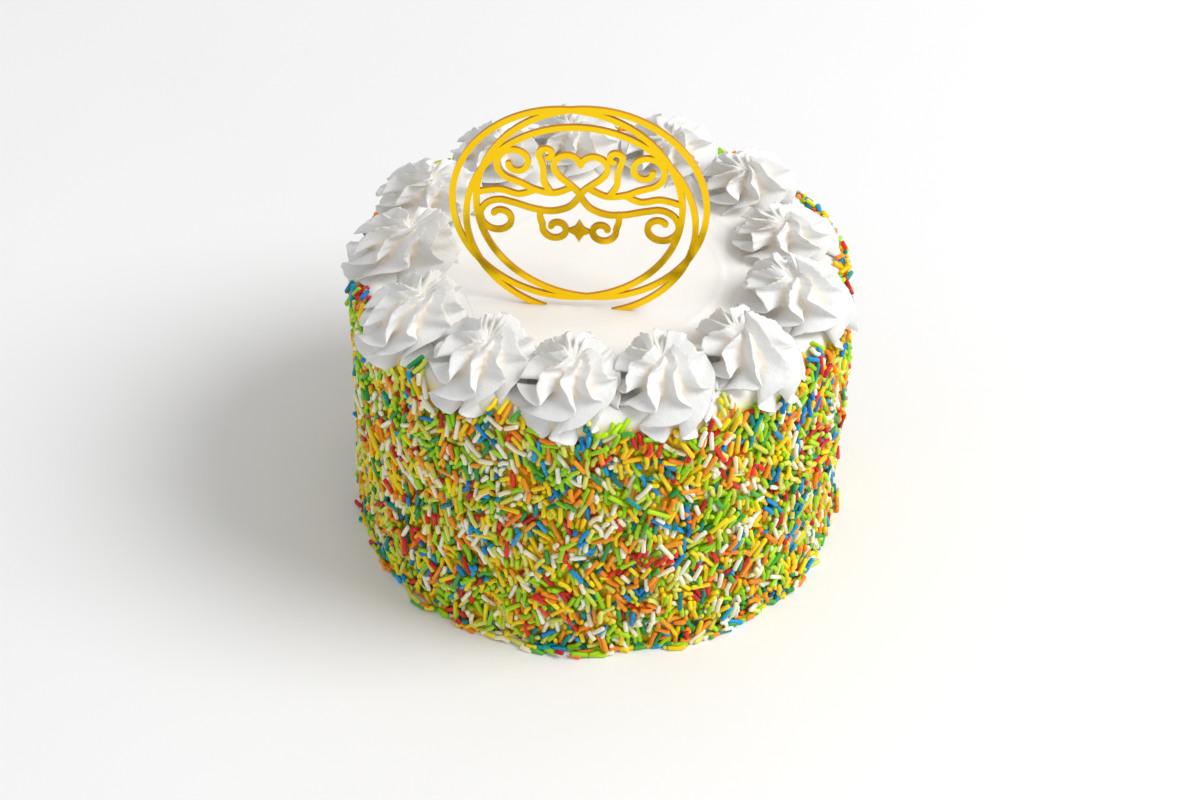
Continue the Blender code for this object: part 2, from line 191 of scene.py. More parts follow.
# The profile from the foot to the crown: radii and heights in mm on the crests of the ridges and in the
# valleys between them, sway and turn in degrees
LEVELS = (0.0, 0.10, 0.23, 0.33, 0.43, 0.56, 0.70, 0.85, 1.0)
CREST_RADIUS = (15.8, 17.2, 17.8, 17.1, 16.1, 14.2, 11.2, 7.9, 4.0)
VALLEY_RADIUS = (10.6, 10.2, 9.6, 9.2, 8.6, 7.4, 5.9, 4.4, 2.4)
LEVEL_HEIGHT = (-3.4, -1.6, 1.1, 3.3, 5.6, 8.3, 10.5, 11.9, 12.2)
CREST_LIFT = (-1.0, -0.8, -0.4, 0.1, 0.4, 0.9, 1.5, 2.2, 3.4)
SWAY = (2, -12, -28, -15, 17, 8, -6, -3, 0)
TURN = (0, 3, 6, 9, 11, 16, 26, 39, 56)
VALLEY_SWAY = 0.4
SWAY_SHARPNESS = 0.8
PROFILE_LENGTH = 26.0
CROWN_PIT = 11.0 * MM
PIT_CURVE = 1.6
# Share of painted warm shade at the crown's hollow
PIT_PAINTED_SHADE = 0.5
# Seeded differences
SIZE_SPREAD = 0.04
REACH_SPREAD = 0.05
TIP_SPREAD = 0.35
SWING_RANGE = (0.75, 1.3)
SHIFT_SPREAD = 0.045
TALL_TIP_RANGE = (0.3, 1.4)
CROWN_SHIFT = 1.0 * MM
PEAK_LEAN = 3.4 * MM
# The frills hang over the rim.
DRAPE_FROM = 76.0 * MM
DRAPE_OVER = 11.0 * MM
DRAPE = 0.03 / MM
RIDGE_STEPS = 20
RIDGE_CROWDING = 1.35
ROSETTE_RINGS = 84
PIT_RINGS = 4
# How far up the profile a share of the rings reaches
RING_SHARES = (0.0, 0.20, 0.52, 1.0)
RING_PLACES = (0.0, 0.22, 0.46, 1.0)
RIDGE_SHARPNESS = 1.75
CROWN_SOFTENING = 0.5
CREST_EDGE = 0.12
LOBE_TOP = 0.2
LOBE_SHARPNESS = 0.85
# How fast the painted warm shade of the folds fades towards the crests
FOLD_SHADE_STEEPNESS = 2.8
# Unevenness of a rosette: radius that it is read at, then its waves, in mm
WIGGLE_WAVES = (9, 5, 10.0, 4.0)
LUMP_WAVES = (14, 6, 6.0, 2.4)
FRAY_WAVES = (30, 9, 2.2, 0.8)
WIGGLE = 3.0
LUMP_OUT = 0.14
LUMP_UP = 0.1
FRAY_OUT = 0.26
FRAY_UP = 0.2
FRAY_WIDTH = 0.14
FRAY_MOST = 0.5

# Topper
HOOP_RADIUS = 37.9 * MM
HOOP_OFFSET = 4.6 * MM
HOOP_DIRECTIONS = (35, 155, 275)
HOOP_STEPS = 180
HEART_MIDDLE = 15.6 * MM
HEART_SIZE = 8.8 * MM
HEART_STEPS = 80
STAR_MIDDLE = -8.0 * MM
STAR_RADIUS = 4.4 * MM
STAR_WAIST = 0.5
STAR_POINTS = 4
STEM_PARTS = 8
END_STEPS = 8
STAKE_WIDTH = 4.0 * MM
STAKE_LENGTH = 34.0 * MM
STAKE_POINT = 5.0 * MM
FRONT_FACING = 0.5
SHARP_ANGLE = 35
# The scrolls on the right of the heart, in mm: most are a curved stem that runs into a spiral.
SCROLL_STEMS = (
    ((3.0, 9.3), (8.5, 6.8), (14.5, 7.6), (19.3, 9.9)),
    ((0.0, 6.2), (3.4, 1.6), (9.0, -0.6), (15.0, -0.2), (20.5, 1.4)),
    ((12.9, -0.4), (13.0, -3.4)),
    ((9.6, 7.0), (11.9, 11.2), (12.1, 16.0)),
    ((14.5, 7.7), (20.0, 5.4), (26.5, 6.8), (33.6, 5.2)))
# Their spirals: middle, outer and inner radius, start and sweep in degrees, steps
SCROLL_SPIRALS = (
    ((21.3, 17.9), 6.8, 2.3, -75, 420, 60),
    ((26.6, -4.6), 7.3, 2.4, 100, -415, 60),
    ((7.6, -7.6), 4.7, 1.9, 14, -350, 45),
    ((11.2, 22.0), 2.6, 1.5, -40, 290, 30),
    None)

# Studio
FLOOR_REACH = 3.0
LIT_PLACE = (0.0, 0.0, 0.08)
KEY_PLACE = (1.6, -0.15, 1.85)
KEY_SIZE = 1.4
KEY_POWER = 42.0
WORLD_STRENGTH = 0.56

# Camera, as fitted to the photograph
CAMERA_PLACE = (52.97 * MM, -762.0 * MM, 691.8 * MM)
CAMERA_LENS = 84.0
CAMERA_SENSOR = 36.0
CAMERA_DOWN = 40.42
CAMERA_HEADING = 3.945
CAMERA_ROLL = 1.708
CAMERA_NEAR = 0.01

# Colours, in sRGB values of 0 to 255
CREAM_SHADES = ((241, 241, 240), (237, 237, 235))
# Painted shade: a warm tint in the rosettes' folds, standing in for light scattered there
CREAM_PAINTED_FOLD_SHADE = (243, 230, 210)
ICING_SHADES = ((248, 246, 241), (251, 249, 245))
SUGAR_BLOOM = (250, 246, 236)
GOLD_SHADES = ((255, 204, 22), (255, 214, 34))
GOLD_EDGE_SHADES = ((206, 136, 0), (226, 156, 6))
FLOOR_SHADES = ((246, 246, 247), (250, 250, 251))
DYE_STAINS = (
    (0.30, (255, 140, 0)),
    (0.40, (255, 186, 0)),
    (0.50, (255, 216, 40)),
    (0.58, (206, 220, 10)),
    (0.66, (120, 190, 20)),
    (0.74, (255, 160, 10)))
# Strands: colour, share, pale shade, deep shade, how see-through
STRAND_COLOURS = (
    ("white", 0.17, (255, 255, 238), (249, 238, 201), 0.4),
    ("pale", 0.11, (236, 238, 123), (211, 217, 71), 0.35),
    ("lime", 0.19, (188, 234, 19), (140, 207, 2), 0.2),
    ("green", 0.06, (90, 182, 48), (25, 144, 79), 0.15),
    ("yellow", 0.17, (255, 234, 17), (255, 205, 2), 0.2),
    ("orange", 0.14, (255, 169, 29), (255, 132, 10), 0.2),
    ("red", 0.06, (242, 54, 38), (186, 27, 33), 0.15),
    ("blue", 0.06, (15, 169, 230), (2, 119, 201), 0.15),
    ("teal", 0.04, (10, 161, 155), (2, 119, 125), 0.15),
)


# Materials

def linear(colour):
    """An sRGB colour of 0 to 255 as the shader's linear value."""
    made = []
    for value in colour:
        share = value / 255
        made.append(share / 12.92 if share <= 0.04045 else ((share + 0.055) / 1.055) ** 2.4)
    return (*made, 1.0)


class Shader:
    """A material being built: add nodes, link them, set the main shader's sockets."""

    def __init__(self, name):
        self.material = bpy.data.materials.new(name)
        self.material.use_nodes = True
        self.tree = self.material.node_tree
        self.main = self.tree.nodes["Principled BSDF"]

    def node(self, kind, **settings):
        made = self.tree.nodes.new(kind)
        for key, value in settings.items():
            setattr(made, key, value)
        return made

    def link(self, source, target):
        self.tree.links.new(source, target)

    def set(self, **values):
        for key, value in values.items():
            self.main.inputs[key.replace("_", " ")].default_value = value

    def paint(self, colour):
        self.link(colour, self.main.inputs["Base Color"])

    def noise(self, scale, detail=3.0, roughness=0.55):
        made = self.node("ShaderNodeTexNoise")
        made.inputs["Scale"].default_value = scale
        made.inputs["Detail"].default_value = detail
        made.inputs["Roughness"].default_value = roughness
        self.link(self.node("ShaderNodeTexCoord").outputs["Object"], made.inputs["Vector"])
        return made.outputs["Fac"]

    def ramp(self, source, stops):
        made = self.node("ShaderNodeValToRGB")
        bar = made.color_ramp
        while len(bar.elements) < len(stops):
            bar.elements.new(0.5)
        for element, (place, colour) in zip(bar.elements, stops):
            element.position = place
            element.color = colour
        self.link(source, made.inputs["Fac"])
        return made.outputs["Color"]

    def mottled(self, scale, detail, shades, spread=(0.3, 0.7)):
        """A colour that drifts between two shades in soft patches."""
        stops = [(place, linear(shade)) for place, shade in zip(spread, shades)]
        return self.ramp(self.noise(scale, detail), stops)

    def mix(self, share, first, second):
        made = self.node("ShaderNodeMix", data_type="RGBA")
        for socket, value in (("Factor", share), ("A", first), ("B", second)):
            target = [s for s in made.inputs if s.name == socket and s.enabled][0]
            if isinstance(value, bpy.types.NodeSocket):
                self.link(value, target)
            else:
                target.default_value = value
        return [s for s in made.outputs if s.enabled][0]

    def attribute(self, name):
        return self.node("ShaderNodeAttribute", attribute_name=name).outputs["Fac"]

    def bump(self, height, strength, distance):
        made = self.node("ShaderNodeBump")
        made.inputs["Strength"].default_value = strength
        made.inputs["Distance"].default_value = distance
        self.link(height, made.inputs["Height"])
        self.link(made.outputs["Normal"], self.main.inputs["Normal"])


def add_values(shader, first, second, share):
    """first + share * second, for two heights of a bump."""
    made = shader.node("ShaderNodeMath", operation="MULTIPLY_ADD")
    shader.link(second, made.inputs[0])
    made.inputs[1].default_value = share
    shader.link(first, made.inputs[2])
    return made.outputs[0]


def cream_material():
    """Piped whipped cream: satin white, with painted warm shade in its folds where light scatters, and tiny
    pores.
    """
    cream = Shader("piped_cream_look")
    white = cream.mottled(90.0, 2.0, CREAM_SHADES)
    # Painted shade: the warm tint is mixed in where the folds are deep
    painted_fold_colour = cream.mix(cream.attribute("painted_fold_shade"), white, linear(CREAM_PAINTED_FOLD_SHADE))
    cream.paint(painted_fold_colour)
    pores = cream.noise(1500.0, 4.0, 0.65)
    grain = cream.noise(420.0, 3.0)
    uneven = add_values(cream, pores, grain, 1.4)
    cream.bump(uneven, strength=0.32, distance=0.0006)
    cream.set(Roughness=0.46, Specular_IOR_Level=0.4)
    cream.set(Subsurface_Weight=0.12, Subsurface_Radius=(1.0, 0.85, 0.7), Subsurface_Scale=0.0012)
    return cream.material


def icing_material():
    """Spread icing: warm white on top, and stained by the strands' dyes down the side."""
    icing = Shader("icing_look")
    white = icing.mottled(38.0, 3.0, ICING_SHADES, spread=(0.25, 0.75))
    dyes = icing.noise(85.0, 2.0)
    stain = icing.ramp(dyes, [(place, linear(dye)) for place, dye in DYE_STAINS])
    colour = icing.mix(icing.attribute("stain"), white, stain)
    icing.paint(colour)
    pores = icing.noise(900.0, 3.0, 0.6)
    smears = icing.noise(120.0, 3.0)
    uneven = add_values(icing, pores, smears, 1.6)
    icing.bump(uneven, strength=0.16, distance=0.0005)
    icing.set(Roughness=0.42, Specular_IOR_Level=0.4)
    icing.set(Subsurface_Weight=0.25, Subsurface_Radius=(1.0, 0.75, 0.5), Subsurface_Scale=0.002)
    return icing.material


def strand_material(name, pale, deep, clear):
    """A sugar strand: satin, a little see-through, each one its own shade between two."""
    sugar = Shader(name)
    shade = sugar.mix(sugar.attribute("tone"), linear(pale), linear(deep))
    worn = sugar.noise(700.0, 3.0)
    bloom = sugar.ramp(worn, ((0.55, (0, 0, 0, 1)), (0.8, (0.16, 0.16, 0.16, 1))))
    dusty = sugar.mix(bloom, shade, linear(SUGAR_BLOOM))
    sugar.paint(dusty)
    grain = sugar.noise(2600.0, 2.0)
    sugar.bump(grain, strength=0.25, distance=0.0002)
    sugar.set(Roughness=0.36, Specular_IOR_Level=0.28)
    sugar.set(Subsurface_Weight=clear, Subsurface_Radius=(1.0, 0.8, 0.5), Subsurface_Scale=0.0012)
    return sugar.material


def gold_material():
    """Gold mirror sheet: a saturated yellow that takes on what is round it, slightly wavy."""
    gold = Shader("gold_sheet_look")
    gold.paint(gold.mottled(30.0, 2.0, GOLD_SHADES))
    brushed = gold.noise(180.0, 2.0)
    gold.bump(brushed, strength=0.10, distance=0.0004)
    gold.set(Roughness=0.17, Metallic=1.0)
    return gold.material


def gold_edge_material():
    """The cut edge of the sheet: darker amber."""
    edge = Shader("gold_edge_look")
    edge.paint(edge.mottled(60.0, 2.0, GOLD_EDGE_SHADES))
    edge.set(Roughness=0.4, Metallic=0.3)
    return edge.material


def floor_material():
    floor = Shader("studio_floor")
    floor.paint(floor.mottled(3.0, 2.0, FLOOR_SHADES))
    floor.set(Roughness=0.6)
    return floor.material


# Meshes

def add_object(name, data):
    obj = bpy.data.objects.new(name, data)
    bpy.context.scene.collection.objects.link(obj)
    return obj


def add_piece(name, points, faces, look, smooth=True):
    mesh = bpy.data.meshes.new(name)
    mesh.from_pydata(points.tolist(), [], faces)
    mesh.update()
    obj = add_object(name, mesh)
    mesh.materials.append(look)
    if smooth:
        mesh.shade_smooth()
    return obj


def set_attribute(obj, name, values):
    """Gives each point of a mesh a value that the materials read."""
    layer = obj.data.attributes.new(name, "FLOAT", "POINT")
    layer.data.foreach_set("value", np.asarray(values, np.float32).ravel())


def grid_faces(rings, around):
    """Quads of a closed tube of points, ring after ring."""
    ring = np.arange(rings - 1)[:, None] * around
    here = np.arange(around)[None, :]
    there = (here + 1) % around
    quads = np.stack([ring + here, ring + there, ring + around + there, ring + around + here], -1)
    return quads.reshape(-1, 4)


def fan_faces(ring_start, around, middle, outward):
    """Triangles from a ring of points to a middle one."""
    here = np.arange(around)
    there = (here + 1) % around
    rows = np.stack([ring_start + here, ring_start + there, np.full(around, middle)], -1)
    return (rows if outward else rows[:, ::-1]).tolist()


def through(knots, values, at):
    """A smooth curve through a few values, read at many places."""
    knots = np.asarray(knots, float)
    values = np.asarray(values, float)
    slopes = np.gradient(values, knots)
    index = np.clip(np.searchsorted(knots, at, side="right") - 1, 0, len(knots) - 2)
    width = knots[index + 1] - knots[index]
    t = (at - knots[index]) / width
    return ((2 * t ** 3 - 3 * t ** 2 + 1) * values[index]
            + (t ** 3 - 2 * t ** 2 + t) * width * slopes[index]
            + (3 * t ** 2 - 2 * t ** 3) * values[index + 1]
            + (t ** 3 - t ** 2) * width * slopes[index + 1])


def waves(x, y, draw, count, longest, shortest):
    """Soft unevenness of about -1 to 1: a sum of seeded waves."""
    total = np.zeros(np.broadcast(x, y).shape)
    for _ in range(count):
        length = draw.uniform(shortest, longest)
        way = draw.uniform(0, 2 * math.pi)
        start = draw.uniform(0, 2 * math.pi)
        total += np.sin((x * math.cos(way) + y * math.sin(way)) * 2 * math.pi / length + start)
    return total / math.sqrt(count)


# Icing

def ridge(distance, height, width):
    """The height of a soft ridge at a distance from its line."""
    return height * np.exp(-(distance / width) ** 2)


def icing_rise(x, y):
    """How far the icing's top stands above its plane: unevenness, spatula arcs and the lip at the topper."""
    draw = random.Random(TOP_SEED)
    rise = waves(x, y, draw, *TOP_WAVES) * TOP_UNEVENNESS
    arc_x = x - SPATULA_MIDDLE[0]
    arc_y = y - SPATULA_MIDDLE[1]
    radius = np.hypot(arc_x, arc_y)
    angle = np.degrees(np.arctan2(arc_y, arc_x))
    for ring, start, end, height in SPATULA_ARCS:
        middle = (start + end) / 2
        half = (end - start) / 2
        along = np.clip(1 - (np.abs(angle - middle) / half) ** 4, 0, 1)
        drift = radius - ring * MM - ARC_WIDENING * (angle - middle)
        rise += along * ridge(drift, height * MM, ARC_WIDTH)
        rise -= along * ridge(drift - GROOVE_PLACE, GROOVE_SHARE * height * MM, GROOVE_WIDTH)
    across = x - TOPPER_X
    before = y - (TOPPER_Y - SHEET / 2 - LIP_GAP)
    behind = y - (TOPPER_Y + SHEET / 2 + LIP_GAP)
    ragged = 1 + LIP_RAGGED * np.sin(across / LIP_RIPPLES[0]) * np.sin(across / LIP_RIPPLES[1] + 1)
    lip = np.clip(1 - (np.abs(across) / LIP_REACH) ** 4, 0, 1)
    rise += lip * ragged * ridge(before, *LIP_BEFORE)
    rise += lip * ridge(behind, *LIP_BEHIND)
    return rise


def wall_lumps(around, height):
    """How far the side stands out or in from its round, which the strands on it follow."""
    draw = random.Random(WALL_SEED)
    x = ICING_RADIUS * np.cos(around)
    y = ICING_RADIUS * np.sin(around)
    broad = waves(x, y + height, draw, *BROAD_WAVES)
    fine = waves(x - height, y, draw, *FINE_WAVES)
    return WALL_LUMPS * (BROAD_SHARE * broad + FINE_SHARE * fine)


def icing_profile():
    """Radii and heights of the icing's rings, from the middle of the top to the middle underneath."""
    flat_radius = ICING_RADIUS - RIM_ROUND
    radii = list(flat_radius * np.linspace(FIRST_RING, 1, TOP_RINGS))
    heights = [CAKE_HEIGHT] * TOP_RINGS
    for step in range(1, RIM_RINGS + 1):
        angle = math.pi / 2 * (1 - step / RIM_RINGS)
        radii.append(flat_radius + RIM_ROUND * math.cos(angle))
        heights.append(CAKE_HEIGHT - RIM_ROUND + RIM_ROUND * math.sin(angle))
    for step in range(1, WALL_RINGS + 1):
        radii.append(ICING_RADIUS)
        heights.append((CAKE_HEIGHT - RIM_ROUND) * (1 - step / WALL_RINGS) + FOOT_ROUND * step / WALL_RINGS)
    radii += [ICING_RADIUS - FOOT_ROUND, ICING_RADIUS * UNDER_RING]
    heights += [0.0, 0.0]
    return np.array(radii)[:, None], np.array(heights)[:, None]


def make_icing(look):
    """The iced cake without its toppings, as one closed skin."""
    turn = np.linspace(0, 2 * math.pi, ICING_AROUND, endpoint=False)[None, :]
    radii, heights = icing_profile()
    on_wall = np.clip((radii - (ICING_RADIUS - RIM_ROUND)) / RIM_ROUND, 0, 1) * (heights > FOOT_ROUND)
    radius = radii + wall_lumps(turn, heights) * on_wall
    x = radius * np.cos(turn)
    y = radius * np.sin(turn)
    on_top = np.clip((heights - (CAKE_HEIGHT - RIM_ROUND)) / RIM_ROUND, 0, 1) ** 2
    z = heights + icing_rise(x, y) * on_top
    points = np.stack([x, y, z], -1).reshape(-1, 3)
    rings = len(radii)
    middles = np.array([[0, 0, float(z[0].mean())], [0, 0, 0]])
    faces = grid_faces(rings, ICING_AROUND)[:, ::-1].tolist()
    faces += fan_faces(0, ICING_AROUND, len(points), True)
    faces += fan_faces((rings - 1) * ICING_AROUND, ICING_AROUND, len(points) + 1, False)
    icing = add_piece("icing_body", np.vstack([points, middles]), faces, look)
    below = np.clip((CAKE_HEIGHT - STAIN_FROM - heights) / STAIN_FADE, 0, 1) + 0 * turn
    set_attribute(icing, "stain", np.concatenate([below.ravel(), [0, 1]]))
    return icing


# Sugar strands

def strand_template(rows):
    """The points of one strand, as places across and along it and insets of its round ends, and its faces."""
    turn = np.linspace(0, 2 * math.pi, STRAND_SIDES, endpoint=False)
    across = [np.stack([np.cos(turn), np.sin(turn)], -1) * radius for _, _, radius in rows]
    along = [np.full(STRAND_SIDES, place) for place, _, _ in rows]
    inset = [np.full(STRAND_SIDES, inward) for _, inward, _ in rows]
    across.append(np.zeros((2, 2)))
    along.append(np.array([-0.5, 0.5]))
    inset.append(np.zeros(2))
    count = len(rows) * STRAND_SIDES
    faces = grid_faces(len(rows), STRAND_SIDES).tolist()
    faces += fan_faces(0, STRAND_SIDES, count, False)
    faces += fan_faces(count - STRAND_SIDES, STRAND_SIDES, count + 1, True)
    return np.concatenate(across), np.concatenate(along), np.concatenate(inset), faces


# Rings of a strand: place as a share of its length, inset and radius as shares of its radius
ROUND_END = (-0.5, 0.14, 0.72)
FULL_END = (-0.5, 0.60, 1.0)
MIDDLE = (0.0, 0.0, 1.0)
FAR_FULL_END = (0.5, -0.60, 1.0)
FAR_ROUND_END = (0.5, -0.14, 0.72)
STRAIGHT_ROWS = (ROUND_END, FULL_END, FAR_FULL_END, FAR_ROUND_END)
BENT_ROWS = (ROUND_END, FULL_END, MIDDLE, FAR_FULL_END, FAR_ROUND_END)


class Heap:
    """The strands' heights over the cake's side, unrolled: each new strand rests on those below it."""

    def __init__(self, skirt):
        self.wide = int(2 * math.pi * ICING_RADIUS / STRAND_CELL)
        self.high = int(STRAND_TOP / STRAND_CELL)
        self.rise = np.full((self.wide, self.high), -STRAND_SUNK)
        self.owner = np.full((self.wide, self.high), -1)
        self.skirt = skirt(np.arange(self.wide) * STRAND_CELL / ICING_RADIUS) / STRAND_CELL
        self.rows = []
        self.footprints = {}

    def footprint(self, turn, length):
        """The cells under a strand: offsets, places along and across it, and which are near either end."""
        key = (round(turn / FOOTPRINT_TURN), round(length / FOOTPRINT_LENGTH))
        if key not in self.footprints:
            turn = key[0] * FOOTPRINT_TURN
            length = key[1] * FOOTPRINT_LENGTH
            span = int((length / 2 + STRAND_RADIUS) / STRAND_CELL) + 1
            i, j = np.mgrid[-span:span + 1, -span:span + 1]
            lengthwise = (i * math.sin(turn) + j * math.cos(turn)) * STRAND_CELL
            sideways = (i * math.cos(turn) - j * math.sin(turn)) * STRAND_CELL
            inside = (np.abs(lengthwise) <= length / 2) & (np.abs(sideways) <= STRAND_RADIUS)
            lengthwise = lengthwise[inside]
            first = np.nonzero(lengthwise < -length * END_FROM)[0]
            last = np.nonzero(lengthwise > length * END_FROM)[0]
            self.footprints[key] = (i[inside], j[inside], lengthwise, sideways[inside], first, last)
        return self.footprints[key]

    def bearing(self, below):
        """The height of the axis of a strand at one of its ends, which rests on the cells below."""
        rank = int(len(below) * STRAND_PRESS)
        return STRAND_RADIUS + np.partition(below, rank)[rank]

    def resting(self, along, height, turn, length):
        """How a strand would rest there: its cells, its middle's height and its slope, or None."""
        i, j, lengthwise, sideways, first, last = self.footprint(turn, length)
        u = (i + int(along // STRAND_CELL)) % self.wide
        v = np.clip(j + int(height / STRAND_CELL), 0, self.high - 1)
        if (v > self.skirt[u]).any():
            return None
        below = self.rise[u, v]
        start = self.bearing(below[first])
        end = self.bearing(below[last])
        slope = (end - start) / (length * BEARING_SPAN)
        if max(start, end) > STRAND_HIGHEST or abs(slope) > STRAND_STEEPEST:
            return None
        return (u, v, lengthwise, sideways), (start + end) / 2, slope

    def drop(self, along, height, turns, length, tone):
        """Lays a strand in the one of the given turns in which it sinks deepest."""
        found = []
        for turn in turns:
            rest = self.resting(along, height, turn % math.pi, length)
            if rest:
                found.append((rest[1], turn % math.pi, rest))
        if not found:
            return
        middle, turn, (cells, _, slope) = min(found, key=lambda row: row[0])
        u, v, lengthwise, sideways = cells
        top = middle + slope * lengthwise + np.sqrt(np.maximum(STRAND_RADIUS ** 2 - sideways ** 2, 0))
        higher = top > self.rise[u, v]
        self.rise[u[higher], v[higher]] = top[higher]
        self.owner[u[higher], v[higher]] = len(self.rows)
        self.rows.append((along / ICING_RADIUS, height, turn, length, middle, math.atan(slope), tone))

    def low_places(self):
        """The cells that no strand covers yet, as places round the side and up it."""
        low = self.rise < STRAND_RADIUS
        u, v = np.nonzero(low & (np.arange(self.high)[None, :] < self.skirt[:, None]))
        return u * STRAND_CELL, v * STRAND_CELL

    def showing(self):
        """The strands that can be seen from outside: one with next to nothing showing is left out."""
        counts = np.bincount(self.owner[self.owner >= 0].ravel(), minlength=len(self.rows))
        return [row for row, count in zip(self.rows, counts) if count >= LEAST_SHOWING]


def lie_of(around, height, draw):
    """A strand's turn: near ones lie roughly the same way."""
    drift = sum(math.sin(times * around + height / rise + start) for times, rise, start in LIE_WAVES)
    return LIE_DRIFT * drift + draw.gauss(0, LIE_SPREAD)


def above_foot(turn, height, length):
    """The turn, laid flatter where the strand would reach below the foot."""
    room = height - FOOT_ROOM
    if abs(math.cos(turn)) * length / 2 <= room:
        return turn
    return math.copysign(math.acos(max(0.0, min(1.0, 2 * room / length))), turn)


def some_turns(count, around, height, length, draw):
    """A few turns that a strand could take there."""
    return [above_foot(lie_of(around, height, draw), height, length) for _ in range(count)]


def thinning(height):
    """How thin the strands lie at a height: up to 1 at their top."""
    return (height - STRAND_THIN_FROM) / (STRAND_TOP - STRAND_THIN_FROM)


def place_strands(draw, skirt):
    """Heaps the strands on the side: most where they happen to fall, the rest in the gaps that are left."""
    heap = Heap(skirt)
    for _ in range(STRAND_TRIES):
        length = draw.choices(STRAND_LENGTHS, STRAND_LENGTH_SHARES)[0] * MM * draw.uniform(*LENGTH_RANGE)
        around = draw.uniform(0, 2 * math.pi)
        height = draw.uniform(STRAND_LOWEST, STRAND_TOP)
        turns = some_turns(STRAND_TURNS, around, height, length, draw)
        tone = draw.random()
        if draw.random() > thinning(height):
            heap.drop(around * ICING_RADIUS, height, turns, length, tone)
    for step in range(STRAND_FILLS):
        if step % FILL_ROUND == 0:
            gap_u, gap_v = heap.low_places()
        pick = draw.randrange(len(gap_u))
        height = max(FILL_LOWEST, gap_v[pick] + draw.uniform(-1, 1) * FILL_SHIFT)
        length = draw.uniform(*FILL_LENGTHS) * MM
        turns = some_turns(FILL_TURNS, gap_u[pick] / ICING_RADIUS, height, length, draw)
        tone = draw.random()
        if draw.random() > FILL_THINNING * thinning(height):
            heap.drop(gap_u[pick] + draw.uniform(-1, 1) * FILL_SHIFT, height, turns, length, tone)
    return heap.showing()


def side_frame(around, along):
    """Points on the icing's side, going up it and over the rim, with the ways round, up and out there."""
    bend = np.maximum(along - (CAKE_HEIGHT - RIM_ROUND), 0) / RIM_ROUND
    radius = ICING_RADIUS - RIM_ROUND + RIM_ROUND * np.cos(bend) + wall_lumps(around, along) * np.cos(bend)
    height = np.minimum(along, CAKE_HEIGHT - RIM_ROUND) + RIM_ROUND * np.sin(bend)
    cos = np.cos(around)
    sin = np.sin(around)
    place = np.stack([radius * cos, radius * sin, height], -1)
    round_way = np.stack([-sin, cos, 0 * cos], -1)
    up = np.stack([-np.sin(bend) * cos, -np.sin(bend) * sin, np.cos(bend)], -1)
    out = np.stack([np.cos(bend) * cos, np.cos(bend) * sin, np.sin(bend)], -1)
    return place, round_way, up, out


def strand_points(rows, bows, template):
    """The points of many strands: each lies on the side at its own turn and slope, and may bow sideways."""
    across, along, inset, _ = template
    around, height, turn, length, rise, slope, _ = (np.array(column) for column in zip(*rows))
    place, round_way, up, out = side_frame(around, height)
    flat = round_way * np.sin(turn)[:, None] + up * np.cos(turn)[:, None]
    axis = flat * np.cos(slope)[:, None] + out * np.sin(slope)[:, None]
    side = np.cross(flat, out)
    over = np.cross(axis, side)
    middle = place + out * rise[:, None]
    lengthwise = along[None, :] * length[:, None] + inset[None, :] * STRAND_RADIUS
    bowed = bows[:, None] * length[:, None] * (0.25 - along[None, :] ** 2)
    sideways = across[None, :, 0] * STRAND_RADIUS + bowed
    upwards = across[None, :, 1] * STRAND_RADIUS + 0 * bowed
    points = (middle[:, None] + lengthwise[..., None] * axis[:, None] + sideways[..., None] * side[:, None]
              + upwards[..., None] * over[:, None])
    points[..., 2] = np.maximum(points[..., 2], ABOVE_FLOOR)
    return points.reshape(-1, 3)


def make_strands(rows, name, look, draw):
    """All strands of one colour as one mesh, of which some are bent."""
    bent = [row for row in rows if draw.random() < BENT_SHARE]
    bent_rows = set(bent)
    straight = [row for row in rows if row not in bent_rows]
    all_points = []
    all_faces = []
    tones = []
    start = 0
    for own, shape in ((straight, STRAIGHT_ROWS), (bent, BENT_ROWS)):
        if not own:
            continue
        template = strand_template(shape)
        bows = np.array([draw.uniform(*BOW_RANGE) * draw.choice((-1, 1)) for _ in own]) * (shape is BENT_ROWS)
        points = strand_points(own, bows, template)
        size = len(template[1])
        for face in template[3]:
            all_faces += (np.array(face)[None, :] + np.arange(len(own))[:, None] * size + start).tolist()
        all_points.append(points)
        tones.append(np.repeat([row[-1] for row in own], size))
        start += len(points)
    piece = add_piece(name, np.concatenate(all_points), all_faces, look)
    set_attribute(piece, "tone", np.concatenate(tones))
    return piece


def clump_at(around):
    """How heaped the strands are at an angle along the foot, in clumps of unlike sizes."""
    return max(0.0, math.sin(7 * around + 1) * math.sin(4 * around + 2) + 0.3 * math.sin(19 * around))


def foot_strands(draw):
    """Strands that lie along the foot of the side, on whatever the cake stands on."""
    rows = []
    for step in range(FOOT_STRANDS):
        around = 2 * math.pi * (step + draw.uniform(-FOOT_STRAY, FOOT_STRAY)) / FOOT_STRANDS
        length = draw.uniform(*FOOT_LENGTHS) * MM
        turn = math.pi / 2 + draw.gauss(0, FOOT_TURN_SPREAD)
        clump = clump_at(around)
        out = draw.uniform(FOOT_OUT[0], FOOT_OUT[1] + CLUMP_OUT * clump) * MM
        height = STRAND_RADIUS + FOOT_GAP + (step % 2) * draw.uniform(*CLUMP_UP) * MM * clump
        slope = draw.gauss(0, FOOT_SLOPE_SPREAD)
        rows.append((around, height, turn, length, out, slope, draw.random()))
    return rows


